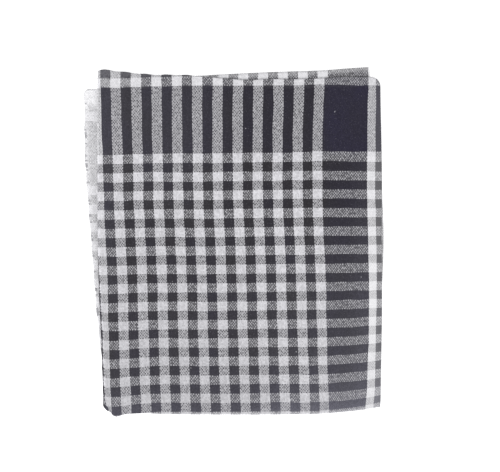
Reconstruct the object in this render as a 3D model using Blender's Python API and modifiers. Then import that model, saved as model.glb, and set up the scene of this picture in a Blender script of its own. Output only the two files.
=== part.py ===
# A checked cotton dust cloth, folded in half and then in three, lying flat.
# Metres, +Z up. The folded cloth rests on z = 0, and the origin lies under
# the middle of its outline. +Y runs from the bottom fold to the hemmed end.
#
# The cloth is one sheet. Its lower half is turned under its upper half along
# the bottom fold. The doubled cloth is then laid in three, back and forth:
# a front pair on top, a middle pair under it and a rear pair on the surface.

import math

import bmesh
import bpy
import numpy as np

MM = 0.001

# The sheet and its stack, in millimetres
SHEET = 1.0            # thickness of the cloth with its nap
PITCH = 1.35           # from the middle of one layer to the middle of the next
LAYERS = 6
FOLD_STEPS = 6         # facets round each fold

# Half of the cloth: the face half lies above the under half in the front pair
FACE, UNDER = 0, 1

# The pairs, from the top of the stack
FRONT, MIDDLE, REAR = 0, 1, 2

# Lines that run up the cloth, as x at a share of the way from the bottom fold
# to the end of that half. The left fold joins the front pair to the middle
# pair, and the right fold joins the middle pair to the rear pair.
# up, hemmed side, left fold, right fold, selvedge
FACE_LINES = (
    (0.00, 103.0, -90.8, 101.8, -90.0),
    (0.05, 103.1, -91.0, 101.9, -90.1),
    (0.12, 103.4, -91.6, 102.1, -90.4),
    (0.20, 103.8, -92.3, 102.4, -90.8),
    (0.30, 104.1, -93.4, 102.9, -91.2),
    (0.40, 104.4, -94.1, 103.6, -91.5),
    (0.52, 104.6, -94.6, 103.9, -91.8),
    (0.65, 104.4, -94.7, 103.6, -92.0),
    (0.80, 103.8, -95.0, 102.6, -92.1),
    (0.92, 103.2, -95.2, 101.6, -92.2),
    (1.00, 102.9, -94.6, 101.0, -92.2),
)
UNDER_LINES = (
    (0.00, 103.0, -90.8, 101.8, -90.0),
    (0.05, 102.9, -90.6, 102.2, -90.7),
    (0.12, 102.8, -90.8, 102.5, -91.9),
    (0.20, 102.6, -91.5, 103.0, -93.5),
    (0.30, 102.2, -92.5, 103.9, -95.9),
    (0.40, 101.6, -93.2, 105.3, -97.6),
    (0.52, 100.9, -93.7, 106.1, -99.6),
    (0.65, 100.1, -93.8, 105.3, -101.9),
    (0.80, 98.9, -94.1, 103.4, -104.0),
    (0.92, 97.5, -94.3, 102.2, -104.2),
    (1.00, 95.8, -94.0, 101.6, -104.6),
)

# The bottom fold of each pair, as y at x, from the left fold or selvedge
# x, front, middle, rear
BOTTOM_FOLD = (
    (-92.0, -114.2, -114.2, -114.6),
    (-90.0, -115.1, -114.9, -115.2),
    (-88.0, -116.3, -115.5, -115.6),
    (-84.0, -119.0, -116.6, -116.4),
    (-81.8, -120.8, -117.1, -116.8),
    (-79.4, -121.8, -117.5, -117.1),
    (-76.0, -121.3, -118.0, -117.4),
    (-69.0, -120.3, -118.6, -117.9),
    (-45.0, -120.5, -119.2, -118.4),
    (0.0, -121.0, -119.5, -118.6),
    (40.0, -120.8, -119.3, -118.2),
    (60.0, -120.4, -118.6, -117.4),
    (80.0, -118.6, -117.2, -116.4),
    (95.0, -116.8, -115.4, -115.0),
    (103.0, -115.2, -114.2, -114.0),
)

# The two ends of the cloth, as y at x
# x, front, middle, rear
FACE_END = (
    (-95.0, 120.0, 119.8, 103.0),
    (-89.0, 120.0, 118.0, 103.0),
    (-75.0, 118.4, 115.5, 103.2),
    (-58.0, 116.8, 113.8, 103.4),
    (-30.0, 116.3, 111.6, 103.7),
    (5.0, 115.0, 109.4, 104.1),
    (50.0, 114.9, 107.0, 104.6),
    (104.0, 115.1, 105.0, 105.0),
)
UNDER_END = (
    (-105.0, 111.0, 111.0, 107.1),
    (-90.0, 111.4, 110.8, 107.2),
    (-60.0, 113.2, 110.0, 107.0),
    (-20.0, 115.7, 109.0, 106.8),
    (5.0, 117.6, 108.3, 106.7),
    (32.0, 119.0, 107.6, 106.6),
    (60.0, 119.9, 106.8, 106.4),
    (96.0, 122.0, 105.6, 105.6),
    (104.0, 122.2, 105.4, 105.4),
)

# Corners that are rounded off, as radii
HEM_CORNER = 7.0       # face half, front pair
SELVEDGE_CORNER = 4.0  # under half, rear pair
PLAIN_CORNER = 1.5

# Unevenness of the top of the stack, which fades out towards the surface
# Soft ridges across the cloth: x, y, half length, half width, turn, height
RIDGES = (
    (-45.0, 98.0, 62.0, 9.0, -1.0, 0.45),
    (-15.0, -90.0, 85.0, 8.0, 2.0, 0.50),
    (-84.0, -108.0, 12.0, 7.0, 40.0, 0.60),
    (98.0, 20.0, 7.0, 105.0, 0.0, 0.40),
    (40.0, 15.0, 60.0, 16.0, 24.0, -0.30),
)
PILLOW = 0.5           # how much the middle stands above the edges

# Where the grid is closest, as shares of a panel from its start
PANEL_STEPS = (0.0, 0.012, 0.03, 0.07, 0.16, 0.30, 0.45, 0.60, 0.75, 0.88, 0.96, 1.0)
# More of them on the front, by its lower left corner
CORNER_STEPS = (0.925, 0.945, 0.975, 0.988)
# The same along each half, from the bottom fold
HALF_STEPS = (
    0.04, 0.09, 0.15, 0.22, 0.31, 0.41, 0.52, 0.62, 0.72,
    0.81, 0.89, 0.945, 0.975, 0.99, 1.0,
)

CLOTH_COLOUR = (0.16, 0.16, 0.20, 1.0)


def on_curve(table, column, at):
    """Reads a column of a table at one place, on a smooth curve through its rows."""
    places = np.array([row[0] for row in table])
    values = np.array([row[column] for row in table])
    slopes = np.gradient(values, places)
    at = min(max(at, places[0]), places[-1])
    i = min(int(np.searchsorted(places, at, side="right")) - 1, len(places) - 2)
    step = places[i + 1] - places[i]
    t = (at - places[i]) / step
    return (
        values[i] * (1 + 2 * t) * (1 - t) ** 2
        + slopes[i] * step * t * (1 - t) ** 2
        + values[i + 1] * t * t * (3 - 2 * t)
        + slopes[i + 1] * step * t * t * (t - 1)
    )


def lines_at(half, up):
    """The x of the hemmed side, left fold, right fold and selvedge."""
    table = FACE_LINES if half == FACE else UNDER_LINES
    return [on_curve(table, column, up) for column in (1, 2, 3, 4)]


def rounded(side, end, radius):
    """Distances from a side and from an end, after the corner between them is rounded."""
    if side >= radius or end >= radius:
        return side, end
    a = 1 - side / radius
    b = 1 - end / radius
    return (
        radius * (1 - a * math.sqrt(1 - b * b / 2)),
        radius * (1 - b * math.sqrt(1 - a * a / 2)),
    )


def height_at(half, pair, x, up, fold_angle):
    """The y of a point of one panel. The fold angle runs round the bottom fold."""
    centre = on_curve(BOTTOM_FOLD, 1 + pair, x) + (PITCH + SHEET) / 2
    end = on_curve(FACE_END if half == FACE else UNDER_END, 1 + pair, x)
    return centre + (end - centre) * up - PITCH / 2 * math.cos(fold_angle)


def flat_point(half, up, fold_angle, panel, share, turn):
    """A point of the folded cloth before it is made uneven, as x, y and z.

    The panel is the pair that the point is on, or the upper one of two pairs
    that a side fold joins, and turn is the angle round that side fold.
    """
    side, left, right, selvedge = lines_at(half, up)
    reach = 1.5 * PITCH + SHEET / 2
    left += reach
    right -= reach
    offset = PITCH / 2 * math.sin(fold_angle)
    base = SHEET / 2

    if turn is None:
        starts = (side, left, right)
        ends = (left, right, selvedge)
        x = starts[panel] + (ends[panel] - starts[panel]) * share
        levels = (4.5 * PITCH + offset, 2.5 * PITCH - offset, 0.5 * PITCH + offset)
        return x, height_at(half, panel, x, up, fold_angle), base + levels[panel]

    if panel == FRONT:
        centre, way, axis_level, radius = left, -1, 3.5, PITCH + offset
    else:
        centre, way, axis_level, radius = right, 1, 1.5, PITCH - offset
    x = centre + way * radius * math.sin(turn)
    z = base + axis_level * PITCH + radius * math.cos(turn)
    middle_x = centre + way * PITCH * math.sin(turn)
    above = height_at(half, panel, middle_x, up, fold_angle)
    below = height_at(half, panel + 1, middle_x, up, fold_angle)
    y = above + (below - above) * turn / math.pi
    return x, y, z


def corner_point(half, up, panel, x, y):
    """The same x and y with the cloth's four corners rounded off."""
    side, _, _, selvedge = lines_at(half, up)
    end = on_curve(FACE_END if half == FACE else UNDER_END, 1 + panel, x)
    if panel == FRONT:
        radius = HEM_CORNER if half == FACE else PLAIN_CORNER
        from_side, from_end = rounded(side - x, end - y, radius)
        return side - from_side, end - from_end
    if panel == REAR:
        radius = SELVEDGE_CORNER if half == UNDER else PLAIN_CORNER
        from_side, from_end = rounded(x - selvedge, end - y, radius)
        return selvedge + from_side, end - from_end
    return x, y


def uneven(x, y):
    """How far the top of the stack stands above a plane at one place."""
    lift = PILLOW * math.exp(-((x / 80) ** 4)) * math.exp(-((y / 95) ** 4))
    for cx, cy, long, wide, turn, height in RIDGES:
        c, s = math.cos(math.radians(turn)), math.sin(math.radians(turn))
        along = (c * (x - cx) + s * (y - cy)) / long
        across = (c * (y - cy) - s * (x - cx)) / wide
        lift += height * math.exp(-(along**4) - across**2)
    return lift


def cloth_stations():
    """Grid lines across the cloth and along it, from the hemmed side and from the under end."""
    round_fold = [math.pi * k / FOLD_STEPS for k in range(1, FOLD_STEPS)]
    across = []
    for panel in (FRONT, MIDDLE, REAR):
        shares = PANEL_STEPS + CORNER_STEPS if panel == FRONT else PANEL_STEPS
        across += [(panel, share, None) for share in sorted(shares)]
        if panel != REAR:
            across += [(panel, None, turn) for turn in round_fold]
    along = [(UNDER, up, -math.pi / 2) for up in reversed(HALF_STEPS)]
    for k in range(FOLD_STEPS + 1):
        angle = -math.pi / 2 + math.pi * k / FOLD_STEPS
        along.append((UNDER if angle < 0 else FACE, 0.0, angle))
    along += [(FACE, up, math.pi / 2) for up in HALF_STEPS]
    return across, along


def cloth_point(across, along):
    panel, share, turn = across
    half, up, fold_angle = along
    x, y, z = flat_point(half, up, fold_angle, panel, share, turn)
    if turn is None:
        x, y = corner_point(half, up, panel, x, y)
    level = (z - SHEET / 2) / ((LAYERS - 1) * PITCH)
    return x * MM, y * MM, (z + level * uneven(x, y)) * MM


def make_cloth(name):
    """One sheet on a grid, bent through its folds and given its thickness."""
    across, along = cloth_stations()
    mesh = bpy.data.meshes.new(name)
    grid = bmesh.new()
    bmesh.ops.create_grid(
        grid, x_segments=len(across) - 1, y_segments=len(along) - 1, size=0.5
    )
    for vert in grid.verts:
        i = round((vert.co.x + 0.5) * (len(across) - 1))
        j = round((vert.co.y + 0.5) * (len(along) - 1))
        vert.co = cloth_point(across[i], along[j])
    grid.to_mesh(mesh)
    grid.free()
    mesh.shade_smooth()
    cloth = bpy.data.objects.new(name, mesh)
    thickness = cloth.modifiers.new("thickness", "SOLIDIFY")
    thickness.thickness = SHEET * MM
    thickness.offset = 0.0
    thickness.use_even_offset = True
    thickness.use_quality_normals = True
    return cloth


def centre_outline(cloth):
    """Moves the sheet so that the middle of its finished outline is over the origin."""
    graph = bpy.context.evaluated_depsgraph_get()
    corners = np.array(cloth.evaluated_get(graph).bound_box)
    middle = (corners.min(axis=0) + corners.max(axis=0)) / 2
    for vert in cloth.data.vertices:
        vert.co.x -= middle[0]
        vert.co.y -= middle[1]


def cotton():
    material = bpy.data.materials.new("checked_cotton")
    material.use_nodes = True
    shader = material.node_tree.nodes["Principled BSDF"]
    shader.inputs["Base Color"].default_value = CLOTH_COLOUR
    shader.inputs["Roughness"].default_value = 0.95
    shader.inputs["Metallic"].default_value = 0.0
    return material


def main():
    for old in list(bpy.data.objects):
        bpy.data.objects.remove(old, do_unlink=True)
    collection = bpy.data.collections.new("dust_cloth")
    bpy.context.scene.collection.children.link(collection)
    cloth = make_cloth("cloth")
    cloth.data.materials.append(cotton())
    collection.objects.link(cloth)
    centre_outline(cloth)


main()
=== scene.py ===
import math
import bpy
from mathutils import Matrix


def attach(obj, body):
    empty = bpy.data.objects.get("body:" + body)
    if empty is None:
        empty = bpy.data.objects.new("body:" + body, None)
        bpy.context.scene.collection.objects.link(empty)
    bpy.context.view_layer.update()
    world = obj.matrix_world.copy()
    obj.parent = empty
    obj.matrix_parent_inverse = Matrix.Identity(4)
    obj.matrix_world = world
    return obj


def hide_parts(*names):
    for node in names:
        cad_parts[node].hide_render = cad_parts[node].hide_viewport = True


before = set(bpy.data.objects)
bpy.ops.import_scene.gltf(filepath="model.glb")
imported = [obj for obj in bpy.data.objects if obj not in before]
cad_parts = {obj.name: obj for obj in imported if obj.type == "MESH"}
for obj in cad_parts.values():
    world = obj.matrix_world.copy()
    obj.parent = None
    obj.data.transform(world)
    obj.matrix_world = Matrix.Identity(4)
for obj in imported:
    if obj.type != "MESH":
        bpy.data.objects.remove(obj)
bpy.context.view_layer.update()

from types import SimpleNamespace

import bmesh
import bpy
import numpy as np

mm = 0.001
farAway = 99                      # a distance in mm for points that an edge has no part in

# The folded cloth: sizes in mm, places from the middle of the fold drawing
clothShape = {
    "sheet": 0.44,                # thickness of the cloth
    "stackHeight": 7.75,          # six layers, before they are made uneven
    "drawingMiddle": (0.825, 0.095),
    "hemCorner": 7.0,
    "selvedgeCorner": 4.0,
    "plainCorner": 1.5,
    "endFlapEdge": (60.1, 0.3),   # where the turned-under end stops, and how it follows the end
    "rearEndFlap": 22.0,          # depth of that flap in the rear pair
    "hemOverlap": (18.5, 14.5),   # from the side: the end's flap drops below the side's there
    "hemNarrows": (0.62, 0.86),   # share up the under half where the side's flap runs out
    "leastHem": 0.6,              # and what is left of it
    "pillow": (0.5, 80, 95),      # how much the middle stands above the edges, and how far
    "flutter": 0.16,              # small ups and downs of free edges
    "flutterFrom": (9.0, 8.0),    # how far from the side and the end they reach
    "sideWaves": [(1.0, 7.3, 0.0), (0.6, 3.1, 1.7)],
    "pairShift": 22.63,           # how far the first of them is shifted from pair to pair
    "endWaves": [(1.0, 8.1, 0.0), (0.5, 3.7, 2.0)],
    "scallop": 0.30,              # how far dark stripes stand out on the top fold
    "scallopFades": (30, -60),
    "selvedgeRipple": (0.22, 3.0),  # how deep, and how far in
    "rippleWaves": [(1.0, 3.4, 0.0), (0.7, 1.9, 1.0)],
}

# Lines that run up the cloth, by share of the way from the bottom fold: x of the hemmed
# side, the left fold, the right fold and the selvedge, on the face half and the under half
faceLines = [
    (0.00, 103.6, -90.8, 101.8, -90.0),
    (0.05, 103.8, -91.0, 101.9, -90.1),
    (0.12, 104.0, -91.6, 102.1, -90.4),
    (0.20, 104.4, -92.3, 102.4, -90.8),
    (0.30, 104.7, -93.4, 102.9, -91.2),
    (0.40, 104.6, -94.1, 103.6, -91.5),
    (0.52, 104.4, -94.6, 103.9, -91.8),
    (0.65, 104.7, -94.7, 103.6, -92.0),
    (0.80, 104.3, -95.0, 102.6, -92.1),
    (0.92, 103.7, -95.2, 101.6, -92.2),
    (1.00, 103.5, -94.6, 101.0, -92.2),
]
underLines = [
    (0.00, 103.6, -90.8, 101.8, -90.0),
    (0.05, 103.3, -90.6, 102.2, -90.7),
    (0.12, 102.8, -90.8, 102.5, -91.9),
    (0.20, 102.6, -91.5, 103.0, -93.5),
    (0.30, 102.2, -92.5, 103.9, -95.9),
    (0.40, 101.6, -93.2, 105.3, -97.6),
    (0.52, 100.9, -93.7, 106.1, -99.6),
    (0.65, 100.1, -93.8, 105.3, -101.9),
    (0.80, 98.9, -94.1, 103.4, -104.0),
    (0.92, 97.5, -94.3, 102.2, -104.2),
    (1.00, 95.8, -94.0, 101.6, -104.6),
]

# Lines across the cloth: x, then y there of the front, the middle and the rear pair
bottomFold = [
    (-92.0, -115.1, -114.2, -114.6),
    (-90.3, -116.3, -114.8, -115.1),
    (-89.0, -117.9, -115.3, -115.4),
    (-87.4, -119.0, -115.7, -115.8),
    (-85.5, -119.9, -116.2, -116.1),
    (-84.3, -121.5, -116.5, -116.3),
    (-82.8, -122.6, -116.9, -116.6),
    (-80.8, -123.0, -117.3, -116.9),
    (-78.2, -122.1, -117.7, -117.2),
    (-75.0, -121.3, -118.1, -117.5),
    (-69.0, -120.8, -118.6, -117.9),
    (-45.0, -121.3, -119.2, -118.4),
    (0.0, -121.6, -119.5, -118.6),
    (40.0, -121.4, -119.3, -118.2),
    (60.0, -121.0, -118.6, -117.4),
    (80.0, -119.4, -117.2, -116.4),
    (95.0, -117.6, -115.4, -115.0),
    (103.0, -116.1, -114.2, -114.0),
]
faceEnd = [
    (-95.0, 120.0, 119.8, 103.0),
    (-89.0, 120.0, 118.0, 103.0),
    (-75.0, 118.4, 115.5, 103.2),
    (-58.0, 116.8, 113.8, 103.4),
    (-32.0, 116.3, 111.7, 103.7),
    (-18.0, 115.1, 110.8, 103.9),
    (-3.0, 113.8, 109.8, 104.0),
    (11.0, 112.9, 109.1, 104.2),
    (26.0, 113.5, 108.3, 104.4),
    (47.0, 113.5, 107.1, 104.6),
    (61.0, 114.0, 106.6, 104.7),
    (72.0, 114.8, 106.2, 104.8),
    (104.0, 115.1, 105.0, 105.0),
]
underEnd = [
    (-105.0, 111.0, 111.0, 107.1),
    (-90.0, 111.4, 110.8, 107.2),
    (-60.0, 113.2, 110.0, 107.0),
    (-20.0, 116.2, 109.0, 106.8),
    (5.0, 117.5, 108.3, 106.7),
    (32.0, 118.7, 107.6, 106.6),
    (60.0, 119.6, 106.8, 106.4),
    (96.0, 122.0, 105.6, 105.6),
    (104.0, 122.2, 105.4, 105.4),
]

# Soft creases and ridges: x, y, half length, half width, turn, height
creases = [
    (-45.0, 98.0, 62.0, 9.0, -1.0, 0.45),
    (-15.0, -90.0, 85.0, 8.0, 2.0, 0.50),
    (-84.0, -108.0, 12.0, 7.0, 40.0, 0.60),
    (98.0, 20.0, 7.0, 105.0, 0.0, 0.40),
    (40.0, 15.0, 60.0, 16.0, 24.0, -0.30),
    (-42.0, 93.0, 55.0, 1.6, -1.0, -0.16),      # the turned-under edge shows through
    (-78.0, -103.0, 16.0, 2.4, 48.0, -0.30),    # pucker at the corner
    (96.0, 107.0, 9.0, 9.0, 0.0, 0.55),         # three thicknesses in the hemmed corner
    (-30.0, -93.0, 55.0, 2.6, 3.0, 0.22),
    (30.0, -97.0, 50.0, 2.6, -2.0, 0.18),
]

# How the check lies on the front, in mm. Up the cloth: y, then x of the middles of the
# leftmost and rightmost dark stripes, both sides of the wide band, the pale stripe's far side
warpOnFront = [
    (-116.8, -81.2, 58.0, 67.4, 93.0, 98.6),
    (-105.6, -81.8, 57.5, 67.2, 94.1, 99.5),
    (-88.8, -82.4, 56.8, 66.4, 94.6, 100.0),
    (-72.0, -82.9, 56.2, 66.3, 95.3, 100.2),
    (-55.2, -83.4, 55.6, 65.8, 95.5, 100.5),
    (-38.4, -83.7, 55.3, 65.7, 95.7, 100.8),
    (-21.6, -84.2, 54.7, 65.1, 95.6, 100.9),
    (-4.8, -85.0, 54.2, 64.3, 95.0, 100.7),
    (12.0, -85.8, 53.3, 63.4, 94.9, 100.4),
    (28.8, -86.6, 52.7, 63.2, 94.4, 100.1),
    (45.6, -86.9, 52.5, 62.9, 94.3, 99.8),
    (62.4, -87.5, 52.6, 62.9, 94.4, 100.2),
    (79.2, -88.1, 52.9, 63.1, 94.5, 99.9),
    (96.0, -88.5, 53.4, 63.8, 94.7, 100.4),
    (111.4, -89.1, 53.8, 64.5, 95.3, 100.5),
]
warpYarns = [234, 74, 62, 26, 19]
warpAtUnderEnd = [-82.7, 56.1, 66.8, 95.5, 101.1]

# Across the cloth: x, then y of both edges of the wide band and of the middles of the
# first, seventh and last dark rows
weftOnFront = [
    (-81.5, 107.5, 60.4, 50.8, -27.0, -118.8),
    (-53.5, 108.4, 61.3, 51.5, -26.2, -116.4),
    (-24.8, 108.9, 61.5, 51.4, -26.3, -116.4),
    (3.2, 108.8, 61.8, 51.8, -26.1, -116.3),
    (31.6, 109.0, 61.9, 52.2, -25.8, -115.9),
    (59.9, 109.7, 62.7, 52.6, -25.5, -115.9),
    (98.3, 109.0, 62.7, 52.1, -25.0, -111.8),
    (104.0, 109.0, 62.7, 52.1, -25.0, -110.6),
]
weftYarns = [21, 63, 72, 144, 228]

# The rows close up towards the bottom fold: by how much, and between which x
rowsClose = [(0.25, 40, 70), (0.10, 90, 100)]

# The left fold rolls over and shows its next dark stripe, most of all in the lower corner
leftRoll = {
    "yarns": [(1.9, -5, -18), (2.2, -25, -75)],     # more and more of them on the way down
    "fromStripe": (-3.4, -8.6),                     # mm from the leftmost dark stripe's middle
    "cornerYarns": 6.0,
    "cornerAt": (-90.5, -114.7),                    # a point on the corner's slanted edge
    "cornerSlant": (0.69, 0.72),                    # the way that this edge faces, inwards
    "cornerEdge": (2.6, 0.9),                       # from which distance to it, to which
    "cornerAcross": (-84.4, -87.0),
    "cornerUp": (-106, -111),
}

# The cloth as woven, counted in yarns from each edge: a pale edge stripe, a dark
# and a pale narrow stripe, a wide dark band, and then pale and dark in turn
warpWeave = {
    "count": 692, "edge": 12, "narrow": 7, "wide": 36, "pale": 8, "dark": 8,
    "pitch": 0.878,               # mm from yarn to yarn
}
weftWeave = {
    "count": 456, "edge": 9, "narrow": 6, "wide": 42, "pale": 6, "dark": 6,
    "pitch": 1.076,
    "rearPitch": 1.085,           # in the rear pair, where the rows lie a little wider
}


def onCurve(table, column, at):
    # A smooth curve through one column of a table
    places = np.array([row[0] for row in table])
    values = np.array([row[column] for row in table])
    slopes = np.gradient(values, places)
    at = np.clip(at, places[0], places[-1])
    i = np.clip(np.searchsorted(places, at, side="right") - 1, 0, len(places) - 2)
    step = places[i + 1] - places[i]
    t = (at - places[i]) / step
    return (
        values[i] * (1 + 2 * t) * (1 - t) ** 2
        + slopes[i] * step * t * (1 - t) ** 2
        + values[i + 1] * t * t * (3 - 2 * t)
        + slopes[i + 1] * step * t * t * (t - 1)
    )


def smooth(low, high, at):
    # 0 up to low and 1 from high on; it falls instead where low is the greater one
    t = np.clip((at - low) / (high - low), 0, 1)
    return t * t * (3 - 2 * t)


def slopesAt(at, rows):
    # What builds up along the way: each row is an amount and the two places it grows between
    return sum(amount * smooth(low, high, at) for amount, low, high in rows)


def wavesAt(at, rows):
    # Each row is a wave's height, its length in mm for each radian, and its start in radians
    return sum(height * np.sin(at / length + start) for height, length, start in rows)


def bell(away, width):
    return np.exp(-((away / width) ** 2))


def stations():
    # Rows run from the turned-under end of the face half to the under half's end.
    # Columns run from the turned-under side to the selvedge. They stand close together
    # at edges and folds. Turns are in radians, and the others are shares of their panel.
    rows = [("endFlap", s) for s in (1.0, 0.8, 0.55, 0.3, 0.1)]
    rows += [("endTurn", math.pi * k / 4) for k in (4, 3, 2, 1)]
    face = np.concatenate([
        1 - np.array([0, 0.003, 0.008, 0.014]),
        1 - np.linspace(0.02, 0.16, 18),
        np.linspace(0.83, 0.14, 42),
        np.linspace(0.128, 0.02, 14),
        [0.012, 0.006, 0.002],
    ])
    rows += [("face", s) for s in face]
    rows += [("bottom", math.pi * (0.5 - k / 8)) for k in range(9)]
    under = np.concatenate([
        [0.002, 0.006, 0.012, 0.02],
        np.linspace(0.04, 0.90, 48),
        np.linspace(0.91, 1.0, 12),
    ])
    rows += [("under", s) for s in under]

    columns = [("sideFlap", s) for s in (1.0, 0.75, 0.45, 0.15)]
    columns += [("sideTurn", math.pi * k / 4) for k in (4, 3, 2, 1)]
    front = np.concatenate([
        [0, 0.003, 0.008, 0.014],
        np.linspace(0.022, 0.10, 8),
        np.linspace(0.118, 0.88, 42),
        np.linspace(0.90, 0.935, 3),
        np.linspace(0.942, 0.994, 14),
        [0.997, 1.0],
    ])
    columns += [("front", s) for s in front]
    columns += [("left", math.pi * k / 8) for k in range(1, 8)]
    middle = np.concatenate([
        [0, 0.01, 0.03],
        np.linspace(0.06, 0.94, 24),
        [0.97, 0.99, 1],
    ])
    columns += [("middle", s) for s in middle]
    columns += [("right", math.pi * k / 8) for k in range(1, 8)]
    rear = np.concatenate([
        [0, 0.01, 0.03],
        np.linspace(0.06, 0.88, 26),
        np.linspace(0.90, 1.0, 16),
    ])
    columns += [("rear", s) for s in rear]
    return rows, columns


def startLayout(shape):
    # Every value in the layout is a grid, with its rows and columns at the stations
    lay = SimpleNamespace(shape=shape)
    lay.rows, lay.columns = stations()
    lay.grid = np.zeros((len(lay.rows), len(lay.columns)))
    rowKinds, rowPlaces = (np.array(values)[:, None] for values in zip(*lay.rows))
    columnKinds, columnPlaces = (np.array(values) for values in zip(*lay.columns))
    lay.rowKind = np.broadcast_to(rowKinds, lay.grid.shape)
    lay.columnKind = np.broadcast_to(columnKinds, lay.grid.shape)
    lay.rowAt = lay.grid + rowPlaces
    lay.columnAt = lay.grid + columnPlaces
    inEnd = np.isin(lay.rowKind, ("endFlap", "endTurn"))
    lay.onFace = inEnd | (lay.rowKind == "face") | ((lay.rowKind == "bottom") & (lay.rowAt >= 0))
    lay.isFront = np.isin(lay.columnKind, ("sideFlap", "sideTurn", "front"))
    lay.isRear = lay.columnKind == "rear"
    lay.up = np.where(lay.rowKind == "bottom", 0, lay.rowAt)
    lay.up = np.where(inEnd, 1, lay.up)              # share of the way from the bottom fold

    lay.thick = shape["sheet"]
    lay.pitch = (shape["stackHeight"] - lay.thick) / 5
    lay.hem = lay.pitch / 3                          # from a layer to its turned-under part
    lay.reach = 1.5 * lay.pitch + lay.thick / 2      # from a side fold's middle to its outside
    return lay


def endAt(lay, pair, x):
    # y of the end: pair is 1 in front, 2 in the middle and 3 behind
    return np.where(lay.onFace, onCurve(faceEnd, pair, x), onCurve(underEnd, pair, x))


def stripesAt(lay, y):
    # x of the five known yarns: from the drawing on the face half, straight on the under half
    drawn = [onCurve(warpOnFront, k, y) for k in range(1, 6)]
    return [np.where(lay.onFace, front, under) for front, under in zip(drawn, lay.underStripes)]


def warpAt(x, stripes):
    # Yarn number at x, from the places of the five known yarns
    yarn = warpYarns[0] + (stripes[0] - x) / warpWeave["pitch"]
    for k in range(4):
        share = (x - stripes[k]) / (stripes[k + 1] - stripes[k])
        between = warpYarns[k] + (warpYarns[k + 1] - warpYarns[k]) * share
        yarn = np.where(x > stripes[k], between, yarn)
    return np.where(x > stripes[4], warpYarns[4] - (x - stripes[4]) / warpWeave["pitch"], yarn)


def weftAt(x, y):
    # Yarn number at y, from the places of the five known ones at x
    rows = [onCurve(weftOnFront, k, x) for k in range(1, 6)]
    yarn = weftYarns[0] - (y - rows[0]) / weftWeave["pitch"]
    for k in range(4):
        share = (rows[k] - y) / (rows[k] - rows[k + 1])
        between = weftYarns[k] + (weftYarns[k + 1] - weftYarns[k]) * share
        yarn = np.where(y < rows[k], between, yarn)
    closePitch = weftWeave["pitch"] * (1 - slopesAt(x, rowsClose))
    return np.where(y < rows[4], weftYarns[4] + (rows[4] - y) / closePitch, yarn)


def layAcross(lay):
    # x of every point, and how deep the side is turned under
    def lineUp(column):
        under = onCurve(underLines, column, lay.up)
        return np.where(lay.onFace, onCurve(faceLines, column, lay.up), under)

    lay.side, left, right, lay.selvedge = (lineUp(column) for column in (1, 2, 3, 4))
    lay.left, lay.right = left + lay.reach, right - lay.reach       # middles of the side folds
    turned = (lay.thick + lay.hem) / 2
    panels = {
        "front": (lay.side - turned, lay.left),
        "middle": (lay.left, lay.right),
        "rear": (lay.right, lay.selvedge),
    }
    lay.x = lay.grid.copy()
    for kind, (start, stop) in panels.items():
        lay.x = np.where(lay.columnKind == kind, start + (stop - start) * lay.columnAt, lay.x)

    # The side's turned-under part is as deep as the yarns beyond its fold
    bottomY = onCurve(bottomFold, 1, lay.side)
    atBottom = [onCurve(warpOnFront, k, bottomY) for k in range(1, 6)]
    lay.underStripes = [low + (high - low) * lay.up for low, high in zip(atBottom, warpAtUnderEnd)]
    lay.stripes = stripesAt(lay, bottomY + (endAt(lay, 1, lay.side) - bottomY) * lay.up)
    lay.hemYarns = warpAt(lay.side, lay.stripes)
    runsOut = np.where(lay.onFace, 0, smooth(*lay.shape["hemNarrows"], lay.up))
    depth = lay.hemYarns * warpWeave["pitch"]
    depth = depth * (1 - runsOut) + (turned + lay.shape["leastHem"]) * runsOut
    lay.flapDepth = turned + (depth - turned) * lay.columnAt
    inTurn = lay.side - lay.thick / 2 - lay.hem / 2 * (1 - np.sin(lay.columnAt))
    lay.x = np.where(lay.columnKind == "sideFlap", lay.side - lay.flapDepth, lay.x)
    lay.x = np.where(lay.columnKind == "sideTurn", inTurn, lay.x)


def heightOnPanel(lay, pair, x):
    # y of each point of a pair: 0 in front, 1 in the middle, 2 behind
    shape = lay.shape
    half = lay.endDrop / 2
    y = lay.grid.copy()
    for k in range(3):
        low = onCurve(bottomFold, k + 1, x) + (lay.pitch + lay.thick) / 2
        high = endAt(lay, k + 1, x)
        if k == 0:
            repeat = warpWeave["dark"] + warpWeave["pale"]
            dark = np.cos((warpAt(x, lay.stripes) - warpYarns[0]) / repeat * 2 * math.pi)
            scallop = shape["scallop"] * dark * smooth(*shape["scallopFades"], x)
            high = high + np.where(lay.onFace, scallop, 0)
        flat = high - np.where(lay.onFace, lay.thick / 2 + half, 0)
        flapEdge = high - shape["rearEndFlap"]
        if k < 2:
            flapEdge = shape["endFlapEdge"][0] + shape["endFlapEdge"][1] * high
        inTurn = high - lay.thick / 2 - half * (1 - np.sin(lay.rowAt))
        here = low + (flat - low) * lay.up - lay.back
        here = np.where(lay.rowKind == "endTurn", inTurn, here)
        here = np.where(lay.rowKind == "endFlap", flat + (flapEdge - flat) * lay.rowAt, here)
        y = np.where(pair == k, here, y)
    return y


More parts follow.
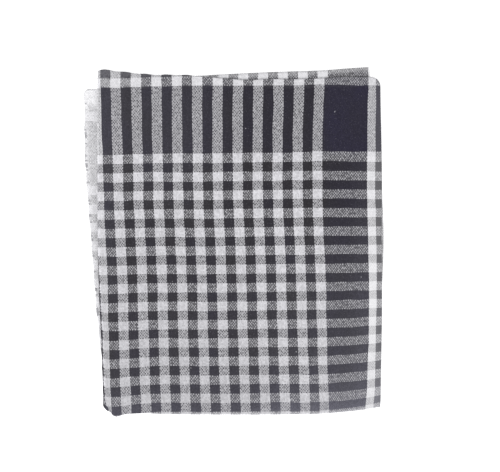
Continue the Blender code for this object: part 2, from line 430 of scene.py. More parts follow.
def layUp(lay):
    # y and level of every point, from how far it lies from the middle of its pair
    half, kind = lay.pitch / 2, lay.columnKind
    away = lay.grid + half
    away = np.where(kind == "sideFlap", half - lay.hem, away)
    away = np.where(kind == "sideTurn", half - lay.hem * (1 - np.cos(lay.columnAt)) / 2, away)
    fromSide = np.where(lay.isFront, lay.side - lay.x, farAway)
    lay.endDrop = lay.hem * (1 + smooth(*lay.shape["hemOverlap"], fromSide))
    turned = half - lay.endDrop * (1 - np.cos(lay.rowAt)) / 2
    away = np.where(lay.rowKind == "endFlap", half - lay.endDrop, away)
    away = np.where(lay.rowKind == "endTurn", turned, away)
    turn = np.where(lay.onFace, math.pi / 2, -math.pi / 2)
    turn = np.where(lay.rowKind == "bottom", lay.rowAt, turn)
    lay.offset, lay.back = away * np.sin(turn), away * np.cos(turn)

    lay.pair = np.where(lay.isFront | (kind == "left"), 0, np.where(lay.isRear, 2, 1))
    lay.y = heightOnPanel(lay, lay.pair, lay.x)
    lay.level = (4.5 - 2 * lay.pair) * lay.pitch + np.where(lay.pair == 1, -1, 1) * lay.offset

    # The two folds at the sides: the upper pair turns over into the lower one
    for name, centre, way, axis, radius, upper in (
        ("left", lay.left, -1, 3.5, lay.pitch + lay.offset, 0),
        ("right", lay.right, 1, 1.5, lay.pitch - lay.offset, 1),
    ):
        here = kind == name
        middleX = centre + way * lay.pitch * np.sin(lay.columnAt)
        above = heightOnPanel(lay, lay.grid + upper, middleX)
        below = heightOnPanel(lay, lay.grid + upper + 1, middleX)
        lay.x = np.where(here, centre + way * radius * np.sin(lay.columnAt), lay.x)
        lay.y = np.where(here, above + (below - above) * lay.columnAt / math.pi, lay.y)
        lay.level = np.where(here, axis * lay.pitch + radius * np.cos(lay.columnAt), lay.level)


def rounded(fromSide, fromEnd, radius):
    # Moves the square corner's points into a round one
    inside = (fromSide < radius) & (fromEnd < radius)
    a = np.where(inside, 1 - fromSide / radius, 0)
    b = np.where(inside, 1 - fromEnd / radius, 0)
    newSide = radius * (1 - a * np.sqrt(1 - b * b / 2))
    newEnd = radius * (1 - b * np.sqrt(1 - a * a / 2))
    return np.where(inside, newSide, fromSide), np.where(inside, newEnd, fromEnd)


def roundCorners(lay):
    lay.frontEnd, lay.rearEnd = endAt(lay, 1, lay.x), endAt(lay, 3, lay.x)
    hemmed, free = (lay.side, -1, lay.frontEnd), (lay.selvedge, 1, lay.rearEnd)
    for corner, where, (edge, way, end) in (
        ("hemCorner", lay.isFront & lay.onFace, hemmed),
        ("plainCorner", lay.isFront & ~lay.onFace, hemmed),
        ("selvedgeCorner", lay.isRear & ~lay.onFace, free),
        ("plainCorner", lay.isRear & lay.onFace, free),
    ):
        newSide, newEnd = rounded(way * (lay.x - edge), end - lay.y, lay.shape[corner])
        lay.x = np.where(where, edge + way * newSide, lay.x)
        lay.y = np.where(where, end - newEnd, lay.y)


def countYarns(lay):
    # Where each point is in the woven cloth
    x, y = lay.x, lay.y
    warpPitch, weftPitch = warpWeave["pitch"], weftWeave["pitch"]
    stripes = stripesAt(lay, y)
    rolled = slopesAt(y, leftRoll["yarns"]) * smooth(*leftRoll["fromStripe"], x - stripes[0])
    (cornerX, cornerY), (slantX, slantY) = leftRoll["cornerAt"], leftRoll["cornerSlant"]
    atCorner = smooth(*leftRoll["cornerEdge"], slantX * (x - cornerX) + slantY * (y - cornerY))
    atCorner = atCorner * smooth(*leftRoll["cornerUp"], y) * smooth(*leftRoll["cornerAcross"], x)
    rolled = np.maximum(rolled, leftRoll["cornerYarns"] * atCorner)
    warp = warpAt(x, stripes) + np.where(lay.onFace, rolled, 0)
    inTurn = lay.hemYarns - lay.columnAt * lay.hem / 2 / warpPitch
    warp = np.where(lay.columnKind == "sideFlap", lay.hemYarns - lay.flapDepth / warpPitch, warp)
    warp = np.where(lay.columnKind == "sideTurn", inTurn, warp)

    weft = weftAt(x, y)
    foldWeft = weftAt(x, onCurve(bottomFold, 1, x) + (lay.pitch + lay.thick) / 2)
    foldYarns = lay.pitch / 2 / weftPitch            # for each radian of the bottom fold
    inFold = foldWeft + (math.pi / 2 - lay.rowAt) * foldYarns
    pastFold = foldWeft + math.pi * foldYarns
    toEnd = pastFold + (weftWeave["count"] - pastFold) * lay.up
    weft = np.where(lay.rowKind == "bottom", inFold, weft)
    weft = np.where(lay.rowKind == "under", toEnd, weft)
    hemWeft = weftAt(x, lay.frontEnd)
    inTurn = hemWeft - lay.rowAt * lay.endDrop / 2 / weftPitch
    weft = np.where(lay.rowKind == "endTurn", inTurn, weft)
    weft = np.where(lay.rowKind == "endFlap", hemWeft - (lay.frontEnd - y) / weftPitch, weft)

    # Past the left fold the count goes on along the cloth to the selvedge
    last = max(i for i, (kind, _) in enumerate(lay.columns) if kind == "front")
    foldStart, leftArc = warp[:, [last]], (lay.pitch + lay.offset) / warpPitch
    rightArc = (lay.pitch - lay.offset) / warpPitch
    middleStart = foldStart + math.pi * leftArc
    middleStop = warpWeave["count"] - (lay.right - lay.selvedge) / warpPitch - math.pi * rightArc
    alongMiddle = middleStart + (middleStop - middleStart) * lay.columnAt
    warp = np.where(lay.columnKind == "left", foldStart + lay.columnAt * leftArc, warp)
    warp = np.where(lay.columnKind == "middle", alongMiddle, warp)
    warp = np.where(lay.columnKind == "right", middleStop + lay.columnAt * rightArc, warp)
    warp = np.where(lay.isRear, warpWeave["count"] - (x - lay.selvedge) / warpPitch, warp)
    pastLeft = np.arange(len(lay.columns)) > last
    weft = np.where(pastLeft & lay.onFace, weft[:, [last]], weft)
    fromRearEnd = (lay.rearEnd - y) / weftWeave["rearPitch"]
    weft = np.where(lay.isRear & (lay.rowKind == "under"), weftWeave["count"] - fromRearEnd, weft)
    return np.stack([warp, weft], axis=-1)


def makeUneven(lay):
    # Rises, creases and fluttering edges, which fade out towards the floor
    shape, x, y = lay.shape, lay.x, lay.y
    height, wide, long = shape["pillow"]
    lift = height * np.exp(-((x / wide) ** 4)) * np.exp(-((y / long) ** 4))
    for creaseX, creaseY, halfLength, halfWidth, turn, height in creases:
        c, s = math.cos(math.radians(turn)), math.sin(math.radians(turn))
        along = (c * (x - creaseX) + s * (y - creaseY)) / halfLength
        across = (c * (y - creaseY) - s * (x - creaseX)) / halfWidth
        lift = lift + height * np.exp(-(along**4) - across**2)
    fromSide, fromEnd = shape["flutterFrom"]
    nearSide = bell(lay.side - x, fromSide) * lay.isFront
    nearSide = nearSide + bell(x - lay.selvedge, fromSide) * lay.isRear
    nearEnd = bell(lay.frontEnd - y, fromEnd) * (lay.up > 0.5)
    first, *others = shape["sideWaves"]
    flutter = wavesAt(y + shape["pairShift"] * lay.pair, [first]) + wavesAt(y, others)
    flutter = nearSide * flutter + nearEnd * wavesAt(x, shape["endWaves"])
    share = lay.level / (5 * lay.pitch)
    lay.z = lay.thick / 2 + lay.level + share * (lift + shape["flutter"] * flutter)

    depth, width = shape["selvedgeRipple"]
    ripple = depth * wavesAt(y, shape["rippleWaves"]) * bell(x - lay.selvedge, width)
    lay.x = x + np.where(lay.isRear & ~lay.onFace, ripple, 0)


# In the lists of places each row has an amount, then the soft edges of the place in mm,
# each from where it starts to where it is full: those across the cloth, then those up it
# Marks on the cloth: bluer dark yarns and darker light yarns, with painted glow, highlights and
# haze
clothWearAndLight = {
    # Pale: painted glow where thin layers lie lit against the bright floor, and painted highlights
    # along the fold edges. First the layer that ends in the selvedge
    "paleBase": 0.34,
    "paleUp": [(0.06, 0, 30), (0.08, 30, 45), (0.36, 90, 98)],     # and more, between which y
    "paleEdge": (0.24, 4.5, 0.5),          # more, in this distance from the selvedge
    "mostPale": 0.9,
    "paleWidth": (19, 13),                 # none past this distance from the selvedge
    "paleRightFold": 0.5,
    "underEnd": (0.29, 5.2, 0.2),          # the under half's end, from this distance to its edge
    "underEndInBand": (0.13, -1.8),        # what that gains and loses in the wide band
    "bandFrom": (50, 60),
    # Painted highlights: the front's top row, top fold, bottom edge and left fold edge lit paler
    "topRow": [
        (0.02, [], [(107.5, 109), (114.6, 113.2)]),
        (0.24, [(-50, -90)], [(107.5, 109), (114.6, 113.2)]),
    ],
    "topFold": [(0.05, [], [(114, 115.5)]), (0.03, [(-50, -80)], [(114, 115.5)])],
    "bottomEdge": (0.24, -2.8, -4.4),      # below the last dark row's middle
    "leftEdge": (0.42, 3.2, 0.8),          # from this distance to the left fold
    "leftEdgeUp": [(1.0, [], [(45, 62), (125, 119)])],
    # Rim: the share of the cotton's own paling outside the wide bands that shows
    "rim": [
        (1.0, [], []),
        (-0.45, [(0, 0.001)], [(56, 64)]),
        (-0.72, [(-70, -70.001)], [(62, 54)]),
        (0.35, [(0, 0.001), (101.6, 100.6)], [(-8, -20), (-86, -64)]),
    ],
    "underEndRim": (1.6, 9),               # in this distance from the under half's end
    # Haze: painted haze that lightens the dark yarns, more and more on the way down
    "downFrom": (30, 148),                 # where that starts, and how far it goes
    "fades": (0.115, 0.22, 12),            # evenly, and towards the bottom with what power
    "fadesLeft": 0.42,                     # share of it that is left on the left
    "fadesRight": (-10, 80),
    "haze": [
        (0.028, [(20, -50)], [(-10, 40)]),
        (0.017, [(20, -50)], [(48, 64)]),
        (0.035, [(-72, -88)], [(-70, -20)]),
        (0.03, [(78, 92), (101, 96)], [(64, 50)]),
        (0.02, [(78, 92), (101, 96)], [(64, 50), (0, -60)]),
    ],
    "hazeElsewhere": 0.03,
    # Light yarns darker in places, most towards the bottom
    "lightDarkeningDown": 0.33,
    "lightDarkening": [
        (0.09, [(40, -40)], [(60, 0), (-115, -70)]),
        (-0.12, [(0, 60)], [(-55, -95)]),
    ],
    # Bluer: dark yarns with more of their first colour
    "bluer": [
        (0.12, [], []),
        (0.22, [], [(58, 64)]),
        (0.18, [(62, 68)], []),
        (0.34, [(62, 68)], [(58, 64)]),
    ],
    "bluerDown": (0.30, 6),                # more towards the bottom, with what power
    "bluerElsewhere": 0.2,
}


def placesIn(x, y, rows):
    # What the places in a list add up to at each point
    total = np.zeros_like(x)
    for amount, across, up in rows:
        inside = np.full_like(x, amount)
        for low, high in across:
            inside = inside * smooth(low, high, x)
        for low, high in up:
            inside = inside * smooth(low, high, y)
        total = total + inside
    return total


# Puts the marks into attributes: painted glow and highlights, painted haze, darker light yarns and
# bluer dark yarns
def paintWearAndLight(lay, wearAndLight):
    x, y = lay.x, lay.y
    onFront = lay.isFront & lay.onFace
    onUnderFront = lay.isFront & (lay.rowKind == "under")
    atSelvedge = np.where(lay.isRear & ~lay.onFace, x - lay.selvedge, farAway)
    atUnderEnd = np.where(onUnderFront, lay.frontEnd - y, farAway)
    fromLeftFold = x - lay.left + lay.reach
    belowLastRow = y - onCurve(weftOnFront, 5, x)

    # Pale: painted glow on thin layers lying against the bright floor, and painted highlights
    # along fold edges
    pale = wearAndLight["paleBase"] + slopesAt(y, wearAndLight["paleUp"])
    pale = pale + slopesAt(atSelvedge, [wearAndLight["paleEdge"]])
    pale = np.minimum(pale, wearAndLight["mostPale"]) * smooth(*wearAndLight["paleWidth"], atSelvedge)
    (amount, start, stop), (more, less) = wearAndLight["underEnd"], wearAndLight["underEndInBand"]
    inBand = smooth(*wearAndLight["bandFrom"], x)
    endPale = (amount + more * inBand) * smooth(start + less * inBand, stop, atUnderEnd)
    pale = np.maximum(pale, endPale)
    pale = np.where(lay.columnKind == "right", wearAndLight["paleRightFold"], pale)
    onEdges = np.maximum(placesIn(x, y, wearAndLight["topRow"]), placesIn(x, y, wearAndLight["topFold"]))
    onEdges = np.maximum(onEdges, slopesAt(belowLastRow, [wearAndLight["bottomEdge"]]))
    pale = np.maximum(pale, np.where(onFront, onEdges, 0))
    leftEdge = slopesAt(fromLeftFold, [wearAndLight["leftEdge"]]) * placesIn(x, y, wearAndLight["leftEdgeUp"])
    nearLeft = (lay.isFront | (lay.columnKind == "left")) & lay.onFace
    pale = np.maximum(pale, np.where(nearLeft, leftEdge, 0))

    amount, within = wearAndLight["underEndRim"]
    rim = np.where(atUnderEnd < within, amount, 0)
    rim = np.where(onFront, placesIn(x, y, wearAndLight["rim"]), rim)

    # Painted haze: dark yarns lightened, more and more on the way down and near some edges
    start, length = wearAndLight["downFrom"]
    down = np.clip((start - y) / length, 0, 1)
    even, late, power = wearAndLight["fades"]
    left = wearAndLight["fadesLeft"]
    toRight = left + (1 - left) * smooth(*wearAndLight["fadesRight"], x)
    haze = (even * down + late * down**power) * toRight + placesIn(x, y, wearAndLight["haze"])
    haze = np.where(onFront, haze, wearAndLight["hazeElsewhere"])
    # Light yarns darker in places, most towards the bottom
    lightDarkening = wearAndLight["lightDarkeningDown"] * down**2 + placesIn(x, y, wearAndLight["lightDarkening"])
    lightDarkening = np.where(onFront, np.maximum(lightDarkening, 0), 0)
    late, power = wearAndLight["bluerDown"]
    bluer = placesIn(x, y, wearAndLight["bluer"]) + late * down**power
    bluer = np.where(onFront, bluer, wearAndLight["bluerElsewhere"])
    return {"pale": pale, "rim": rim, "haze": haze, "lightDarkening": lightDarkening, "bluer": bluer}


def makeCloth(name, shape, wearAndLight):
    lay = startLayout(shape)
    layAcross(lay)
    layUp(lay)
    roundCorners(lay)
    yarns = countYarns(lay)
    makeUneven(lay)
    middleX, middleY = shape["drawingMiddle"]
    points = np.stack([lay.x - middleX, lay.y - middleY, lay.z], axis=-1) * mm

    faces = []
    wide = len(lay.columns)
    for j in range(len(lay.rows) - 1):
        for i in range(wide - 1):
            inEnd = lay.rows[j + 1][0] in ("endFlap", "endTurn")
            inSide = lay.columns[i + 1][0] in ("sideFlap", "sideTurn")
            if inEnd and inSide:
                continue             # the corner's turn is cut away, as it is before sewing
            a = j * wide + i
            faces.append((a, a + wide, a + wide + 1, a + 1))
    mesh = bpy.data.meshes.new(name)
    mesh.from_pydata(points.reshape(-1, 3).tolist(), [], faces)
    layer = mesh.uv_layers.new(name="yarnCount")
    corner = np.empty(len(mesh.loops), dtype=np.int32)
    mesh.loops.foreach_get("vertex_index", corner)
    layer.uv.foreach_set("vector", yarns.reshape(-1, 2)[corner].astype(np.float32).ravel())
    for label, values in paintWearAndLight(lay, wearAndLight).items():
        made = mesh.attributes.new(label, "FLOAT", "POINT")
        made.data.foreach_set("value", values.ravel().astype(np.float32))
    clean = bmesh.new()
    clean.from_mesh(mesh)
    loose = [v for v in clean.verts if not v.link_faces]
    bmesh.ops.delete(clean, geom=loose, context="VERTS")
    clean.to_mesh(mesh)
    clean.free()
    mesh.shade_smooth()
    piece = bpy.data.objects.new(name, mesh)
    bpy.context.scene.collection.objects.link(piece)
    thickness = piece.modifiers.new("thickness", "SOLIDIFY")
    thickness.thickness = shape["sheet"] * mm
    thickness.offset = 0.0
    thickness.use_even_offset = True
    thickness.use_quality_normals = True
    return piece


# Colours are linear. Lengths in the cloth are in yarns.
cottonLook = {
    "dark": (0.0205, 0.018, 0.038),
    "darkWarm": (0.0225, 0.0205, 0.0245),
    # the colour that the painted haze lightens dark yarns towards
    "darkHazed": (0.31, 0.31, 0.37),
    "light": (0.63, 0.625, 0.655),
    "lightDarkened": (0.12, 0.12, 0.125),
    # the colour of the paler stripes, and of the painted glow and highlights
    "paled": (0.90, 0.90, 0.915),
    "hueSpread": 0.9,             # how far dark yarns differ between the first two
    "hueScale": 0.035,
    "wander": 1.3,                # how far yarns stray from their straight lines
    "wanderScales": (0.07, 0.083),
    "crossing": 0.50,             # how high a yarn rides over the next
    "roundness": 0.34,
    "warpBias": 0.45,             # the warp covers more than the weft
    "softness": 0.95,             # how sharply one yarn gives way to the other
    "strays": 2.4,                # how far crossings differ from each other
    "strayScale": 0.62,
    "fuzz": 0.13,                 # how much of the lower yarn shows through
    "mixedShade": 0.27,            # painted shade: light yarns darker among dark ones
    "mixedDarkensLess": 0.8,            # and the darkening shows less there
    "slub": 0.40,                 # light and dark from yarn to yarn
    "slubStep": 3.7,              # from one yarn to the next in the noise
    "slubStretch": 0.12,          # along a yarn in the noise
    "weftSlubFrom": 9.0,          # another layer of the noise
    "patchy": 0.30,               # light and dark from crossing to crossing
    "holeShade": 0.55,                  # painted shade in the holes between yarns: how dark they are
    "holeShadeHeights": (0.05, 0.45),
    "outerStripe": 0.25,          # paling outside the wide bands
    "innerStripe": 0.24,          # more in the pale stripe beside the wide band
    "onDarkWeft": 0.14,           # and less over dark weft
    "foldStripe": (241.5, 3.9, 0.35),   # along the left fold: middle, half width, paling
    "endRows": (0.28, -0.27),     # paling past the end's wide band, and less over dark warp
    "palePatchy": 0.5,
    "loops": 0.42,                # how dark the weft's loops are at the selvedge
    "loopsBare": 0.68,            # share of rows whose loops don't show
    "napScale": 1.1,
    "nap": (0.60, 0.80, 0.24),    # fine fibres that catch the light: from, to, strength
    "napColour": (0.42, 0.42, 0.45),
    "lintPerYarn": 0.016,
    "lintSize": 0.42,
    "lintBend": 2.5,
    "lintCurls": 0.5,
    "lintStrength": 0.4,
    "roughness": 0.86,
    "napRoughness": 0.12,
    "sheen": 0.04,
    "sheenRoughness": 0.6,
    "specular": 0.25,
    "bump": 0.7,
    "yarnHeight": 0.00025,        # in metres
}


class NodeBench:
    # One material's nodes, with short ways to make and join them
    def __init__(self, name):
        self.material = bpy.data.materials.new(name)
        self.material.use_nodes = True
        self.nodes = self.material.node_tree.nodes
        self.links = self.material.node_tree.links
        self.shader = self.nodes["Principled BSDF"]

    def feed(self, socket, value):
        # Numbers and colours are set on the socket itself, and the rest is linked
        if isinstance(value, (int, float)):
            socket.default_value = value
        elif isinstance(value, tuple):
            socket.default_value = (*value, 1.0)
        else:
            self.links.new(value, socket)

    def maths(self, operation, *values, clamp=False):
        node = self.nodes.new("ShaderNodeMath")
        node.operation = operation
        node.use_clamp = clamp
        for socket, value in zip(node.inputs, values):
            self.feed(socket, value)
        return node.outputs[0]

    def mix(self, share, first, second, blend="MIX"):
        node = self.nodes.new("ShaderNodeMix")
        node.data_type = "RGBA"
        node.blend_type = blend
        for place, value in ((0, share), (6, first), (7, second)):
            self.feed(node.inputs[place], value)
        return node.outputs[2]

    def point(self, x, y, z=0.0):
        node = self.nodes.new("ShaderNodeCombineXYZ")
        for socket, value in zip(node.inputs, (x, y, z)):
            self.feed(socket, value)
        return node.outputs[0]

    def dimmed(self, colour, brightness):
        return self.mix(1.0, colour, self.point(brightness, brightness, brightness), "MULTIPLY")

    def noise(self, vector, scale, detail=2.0):
        node = self.nodes.new("ShaderNodeTexNoise")
        node.inputs["Scale"].default_value = scale
        node.inputs["Detail"].default_value = detail
        self.feed(node.inputs["Vector"], vector)
        return node.outputs["Fac"]

    def random(self, dimensions, socket, value):
        node = self.nodes.new("ShaderNodeTexWhiteNoise")
        node.noise_dimensions = dimensions
        self.feed(node.inputs[socket], value)
        return node.outputs["Value"]

    def spread(self, value, width):
        # Turns 0 to 1 into 1, more or less by half the width
        return self.maths("MULTIPLY_ADD", value, width, 1 - width / 2)

    def ramp(self, value, low, high, start, stop):
        node = self.nodes.new("ShaderNodeMapRange")
        ends = {"From Min": low, "From Max": high, "To Min": start, "To Max": stop}
        for socket, number in ends.items():
            node.inputs[socket].default_value = number
        self.feed(node.inputs["Value"], value)
        return node.outputs[0]

    def attribute(self, label):
        node = self.nodes.new("ShaderNodeAttribute")
        node.attribute_name = label
        return node.outputs["Fac"]


def stripeMask(maths, cell, woven):
    # 1 on a dark yarn: the border's two stripes, mirrored, and the check between them
    narrow, wide = woven["narrow"], woven["wide"]
    mirrored = maths("MINIMUM", cell, maths("SUBTRACT", woven["count"] - 1, cell))
    narrowMask = maths("COMPARE", mirrored, woven["edge"] + (narrow - 1) / 2, narrow / 2)
    wideFrom = woven["edge"] + 2 * narrow
    wideMask = maths("COMPARE", mirrored, wideFrom + (wide - 1) / 2, wide / 2)
    fieldFrom = wideFrom + wide + woven["pale"]
    repeat = woven["dark"] + woven["pale"]
    inRepeat = maths("FLOORED_MODULO", maths("SUBTRACT", mirrored, fieldFrom), repeat)
    inCheck = maths("GREATER_THAN", mirrored, fieldFrom - 0.5)
    checkMask = maths("MULTIPLY", maths("LESS_THAN", inRepeat, woven["dark"] - 0.5), inCheck)
    return maths("MAXIMUM", maths("MAXIMUM", narrowMask, wideMask), checkMask)


def weaveYarns(bench, place, look):
    # Which yarn shows at each spot of the cloth, and how high it stands
    maths, weave = bench.maths, SimpleNamespace()

    def wandering(count, scale):
        away = maths("SUBTRACT", bench.noise(place, scale), 0.5)
        return maths("ADD", count, maths("MULTIPLY", away, look["wander"]))

    def hump(share):
        return maths("SINE", maths("MULTIPLY", share, math.pi))

    def crown(share):
        across = maths("MULTIPLY", share, maths("SUBTRACT", 1.0, share))
        return maths("MULTIPLY", across, 4 * look["roundness"])

    counts = bench.nodes.new("ShaderNodeSeparateXYZ")
    bench.feed(counts.inputs[0], place)
    weave.along = wandering(counts.outputs[0], look["wanderScales"][0])
    weave.across = wandering(counts.outputs[1], look["wanderScales"][1])
    weave.warpCell, weave.weftCell = maths("FLOOR", weave.along), maths("FLOOR", weave.across)
    inWarp, inWeft = maths("FRACT", weave.along), maths("FRACT", weave.across)
    over = maths("FLOORED_MODULO", maths("ADD", weave.warpCell, weave.weftCell), 2.0)
    sign = maths("SUBTRACT", maths("MULTIPLY", over, 2.0), 1.0)
    riseWarp = maths("MULTIPLY", maths("MULTIPLY", sign, hump(inWeft)), look["crossing"])
    riseWeft = maths("MULTIPLY", maths("MULTIPLY", sign, hump(inWarp)), -look["crossing"])
    topWarp = maths("ADD", maths("ADD", riseWarp, crown(inWarp)), look["warpBias"])
    topWeft = maths("ADD", riseWeft, crown(inWeft))
    stray = maths("SUBTRACT", bench.noise(place, look["strayScale"], 1.5), 0.5)
    above = maths("MULTIPLY_ADD", stray, 2 * look["strays"], maths("SUBTRACT", topWarp, topWeft))
    warpShows = maths("MULTIPLY_ADD", above, look["softness"], 0.5, clamp=True)
    weave.warpShows = maths("MULTIPLY_ADD", warpShows, 1 - 2 * look["fuzz"], look["fuzz"])
    weave.height = maths("MAXIMUM", topWarp, topWeft)
    weave.warpDark = stripeMask(maths, weave.warpCell, warpWeave)
    weave.weftDark = stripeMask(maths, weave.weftCell, weftWeave)
    return weave


def dyeAndLightYarns(bench, place, weave, wearAndLight, look):
    # Painted haze lightens the dark yarns, light yarns grow darker in places, most towards the
    # bottom, and painted shade darkens light yarns among dark ones
    maths, mix = bench.maths, bench.mix
    mixed = maths("ABSOLUTE", maths("SUBTRACT", weave.warpDark, weave.weftDark))
    hue = bench.noise(place, look["hueScale"], 1.0)
    hue = maths("MULTIPLY_ADD", hue, look["hueSpread"], -look["hueSpread"] / 2)
    dark = mix(maths("ADD", wearAndLight["bluer"], hue, clamp=True), look["darkWarm"], look["dark"])
    # painted haze lightens the dark yarns
    dark = mix(wearAndLight["haze"], dark, look["darkHazed"])
    shows = maths("SUBTRACT", 1.0, maths("MULTIPLY", mixed, look["mixedDarkensLess"]))
    # light yarns darker in places, most towards the bottom
    light = mix(maths("MULTIPLY", wearAndLight["lightDarkening"], shows), look["light"], look["lightDarkened"])
    # painted shade: light yarns darker among dark ones
    shadedAmongDark = maths("SUBTRACT", 1.0, maths("MULTIPLY", mixed, look["mixedShade"]))
    light = bench.dimmed(light, shadedAmongDark)
    return mix(weave.warpShows, mix(weave.weftDark, light, dark), mix(weave.warpDark, light, dark))


def shadeYarns(bench, weave, eachCrossing, colour, look):
    # Every yarn has its own depth of colour, with thick and thin places along it
    maths = bench.maths

    def apart(cell):
        return maths("MULTIPLY", cell, look["slubStep"])

    def slow(along):
        return maths("MULTIPLY", along, look["slubStretch"])

    inWarp = bench.noise(bench.point(apart(weave.warpCell), slow(weave.across)), 1.0)
    inWeft = bench.point(slow(weave.along), apart(weave.weftCell), look["weftSlubFrom"])
    slub = bench.mix(weave.warpShows, bench.noise(inWeft, 1.0), inWarp)
    patches = bench.spread(eachCrossing, look["patchy"])
    brightness = maths("MULTIPLY", bench.spread(slub, look["slub"]), patches)
    # painted shade in the holes between yarns, where the weave lies low
    holeShade = bench.ramp(weave.height, *look["holeShadeHeights"], look["holeShade"], 1.0)
    return bench.dimmed(colour, maths("MULTIPLY", brightness, holeShade))


def paleParts(bench, weave, eachCrossing, wearAndLight, colour, look):
    # Paler: the stripes outside the wide bands, the one along the left fold, and the painted glow
    # and highlights
    maths = bench.maths

    def outsideBand(cell, woven):
        fromEdge = maths("MINIMUM", cell, maths("SUBTRACT", woven["count"] - 1, cell))
        return fromEdge, maths("LESS_THAN", fromEdge, woven["edge"] + 2 * woven["narrow"] - 0.5)

    narrow = warpWeave["narrow"]
    fromEdge, outside = outsideBand(weave.warpCell, warpWeave)
    innerStripe = maths("COMPARE", fromEdge, warpWeave["edge"] + (3 * narrow - 1) / 2, narrow / 2)
    paling = maths("MULTIPLY_ADD", innerStripe, look["innerStripe"], look["outerStripe"])
    paling = maths("SUBTRACT", paling, maths("MULTIPLY", weave.weftDark, look["onDarkWeft"]))
    middle, halfWidth, amount = look["foldStripe"]
    foldStripe = maths("COMPARE", weave.warpCell, middle, halfWidth)
    paling = maths("MULTIPLY_ADD", foldStripe, amount, maths("MULTIPLY", paling, outside))
    _, beyondRows = outsideBand(weave.weftCell, weftWeave)
    amount, overDark = look["endRows"]
    endRows = maths("MULTIPLY_ADD", weave.warpDark, overDark, amount)
    endRows = maths("MULTIPLY", beyondRows, endRows)
    paling = maths("MULTIPLY", maths("MAXIMUM", paling, endRows), wearAndLight["rim"])
    # painted glow and highlights, patchy from crossing to crossing
    glowing = maths("MULTIPLY", wearAndLight["pale"], bench.spread(eachCrossing, look["palePatchy"]))
    colour = bench.mix(maths("MAXIMUM", glowing, paling), colour, look["paled"])

    # The weft's dark loops at the selvedge
    loops = maths("GREATER_THAN", bench.random("1D", "W", weave.weftCell), look["loopsBare"])
    loops = maths("MULTIPLY", maths("LESS_THAN", fromEdge, 1.5), loops)
    loops = maths("MULTIPLY", maths("MULTIPLY", loops, weave.weftDark), look["loops"])
    return bench.mix(loops, colour, look["dark"])


def addLint(bench, place, colour, look):
    # A few small specks, bent so that they aren't round
    curl = bench.nodes.new("ShaderNodeTexNoise")
    curl.inputs["Scale"].default_value = look["lintCurls"]
    bench.feed(curl.inputs["Vector"], place)
    bent = bench.nodes.new("ShaderNodeVectorMath")
    bent.operation = "MULTIPLY_ADD"
    bench.feed(bent.inputs[0], curl.outputs["Color"])
    bent.inputs[1].default_value = (look["lintBend"], look["lintBend"], 0.0)
    bench.feed(bent.inputs[2], place)
    specks = bench.nodes.new("ShaderNodeTexVoronoi")
    specks.voronoi_dimensions = "2D"
    specks.inputs["Scale"].default_value = look["lintPerYarn"]
    bench.feed(specks.inputs["Vector"], bent.outputs[0])
    size = look["lintSize"] * look["lintPerYarn"]
    onSpeck = bench.maths("LESS_THAN", specks.outputs["Distance"], size)
    shows = bench.maths("MULTIPLY", onSpeck, look["lintStrength"])
    return bench.mix(shows, colour, look["light"])


def checkedCotton(look):
    bench = NodeBench("checkedCotton")
    counted = bench.nodes.new("ShaderNodeUVMap")
    counted.uv_map = "yarnCount"
    place = counted.outputs[0]
    wearAndLight = {label: bench.attribute(label) for label in ("pale", "rim", "haze", "lightDarkening", "bluer")}
    weave = weaveYarns(bench, place, look)
    eachCrossing = bench.random("2D", "Vector", bench.point(weave.warpCell, weave.weftCell))
    colour = dyeAndLightYarns(bench, place, weave, wearAndLight, look)
    colour = shadeYarns(bench, weave, eachCrossing, colour, look)
    colour = paleParts(bench, weave, eachCrossing, wearAndLight, colour, look)

    # Nap: fine fibres that catch the light
    fibre = bench.noise(place, look["napScale"], 3.0)
    low, high, strength = look["nap"]
    colour = bench.mix(bench.ramp(fibre, low, high, 0.0, strength), colour, look["napColour"])
    colour = addLint(bench, place, colour, look)

    shader = bench.shader
    rough = bench.maths("MULTIPLY_ADD", fibre, look["napRoughness"], look["roughness"], clamp=True)
    bench.feed(shader.inputs["Base Color"], colour)
    bench.feed(shader.inputs["Roughness"], rough)
    shader.inputs["Sheen Weight"].default_value = look["sheen"]
    shader.inputs["Sheen Roughness"].default_value = look["sheenRoughness"]
    shader.inputs["Specular IOR Level"].default_value = look["specular"]
    bump = bench.nodes.new("ShaderNodeBump")
    bump.inputs["Strength"].default_value = look["bump"]
    bump.inputs["Distance"].default_value = look["yarnHeight"]
    bench.feed(bump.inputs["Height"], weave.height)
    bench.feed(shader.inputs["Normal"], bump.outputs[0])
    return bench.material


studio = {
    "middle": (0.01142, 0.00355),  # what the picture is centred on, from straight above
    "frameWidth": 0.350,          # metres of cloth across the picture
    "lens": 180.0,
    "sensor": 36.0,
    "topOfCloth": 0.0080,
    "floorHalf": 4.0,
    "floorColour": (0.93, 0.93, 0.93),
    "floorRoughness": 0.9,
    "floorSpecular": 0.1,
    "floorGlow": 0.60,            # lit from below too, so that hardly a shadow shows
    "skyStrength": 0.68,
    "keyStrength": 12.0,
    "keySize": 0.9,
    "keyPlace": (-0.45, -0.7, 1.1),
    "keyTurn": (32, 0, -33),
}


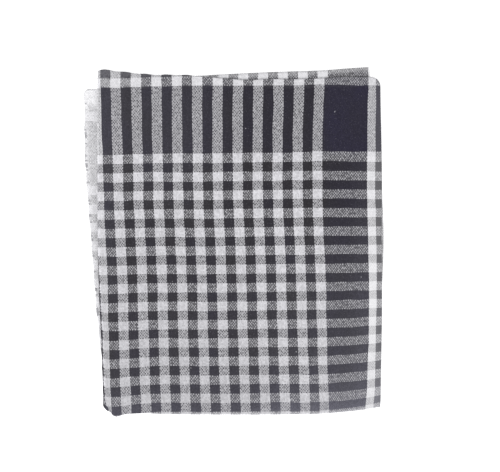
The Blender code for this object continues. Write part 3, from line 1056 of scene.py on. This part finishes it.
def makeStudio(values):
    white = (1.0, 1.0, 1.0, 1.0)
    half = values["floorHalf"]
    corners = [(-half, -half, 0), (half, -half, 0), (half, half, 0), (-half, half, 0)]
    mesh = bpy.data.meshes.new("floor")
    mesh.from_pydata(corners, [], [(0, 1, 2, 3)])
    floor = bpy.data.objects.new("floor", mesh)
    bpy.context.scene.collection.objects.link(floor)
    material = bpy.data.materials.new("paleFloor")
    material.use_nodes = True
    shader = material.node_tree.nodes["Principled BSDF"]
    shader.inputs["Base Color"].default_value = (*values["floorColour"], 1.0)
    shader.inputs["Roughness"].default_value = values["floorRoughness"]
    shader.inputs["Specular IOR Level"].default_value = values["floorSpecular"]
    shader.inputs["Emission Color"].default_value = white
    shader.inputs["Emission Strength"].default_value = values["floorGlow"]
    mesh.materials.append(material)

    world = bpy.data.worlds.new("softRoom")
    world.use_nodes = True
    sky = world.node_tree.nodes["Background"]
    sky.inputs["Color"].default_value = white
    sky.inputs["Strength"].default_value = values["skyStrength"]
    bpy.context.scene.world = world

    lamp = bpy.data.lights.new("keyLight", "AREA")
    lamp.energy = values["keyStrength"]
    lamp.shape = "DISK"
    lamp.size = values["keySize"]
    key = bpy.data.objects.new("keyLight", lamp)
    key.location = values["keyPlace"]
    key.rotation_euler = [math.radians(angle) for angle in values["keyTurn"]]
    bpy.context.scene.collection.objects.link(key)

    camera = bpy.data.cameras.new("camera")
    camera.lens = values["lens"]
    camera.sensor_width = values["sensor"]
    away = values["frameWidth"] / values["sensor"] * values["lens"]
    eye = bpy.data.objects.new("camera", camera)
    eye.location = (*values["middle"], values["topOfCloth"] + away)
    bpy.context.scene.collection.objects.link(eye)
    bpy.context.scene.camera = eye
    bpy.context.scene.view_settings.view_transform = "Standard"
    bpy.context.scene.cycles.use_denoising = False   # it would smear the fine weave


makeStudio(studio)
print("studio made")
dustCloth = makeCloth("dustCloth", clothShape, clothWearAndLight)
print("cloth folded:", len(dustCloth.data.polygons), "faces before its thickness")
dustCloth.data.materials.append(checkedCotton(cottonLook))
print("cotton woven: warp", warpWeave["count"], "by weft", weftWeave["count"], "yarns")
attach(dustCloth, "root")
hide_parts("cloth")
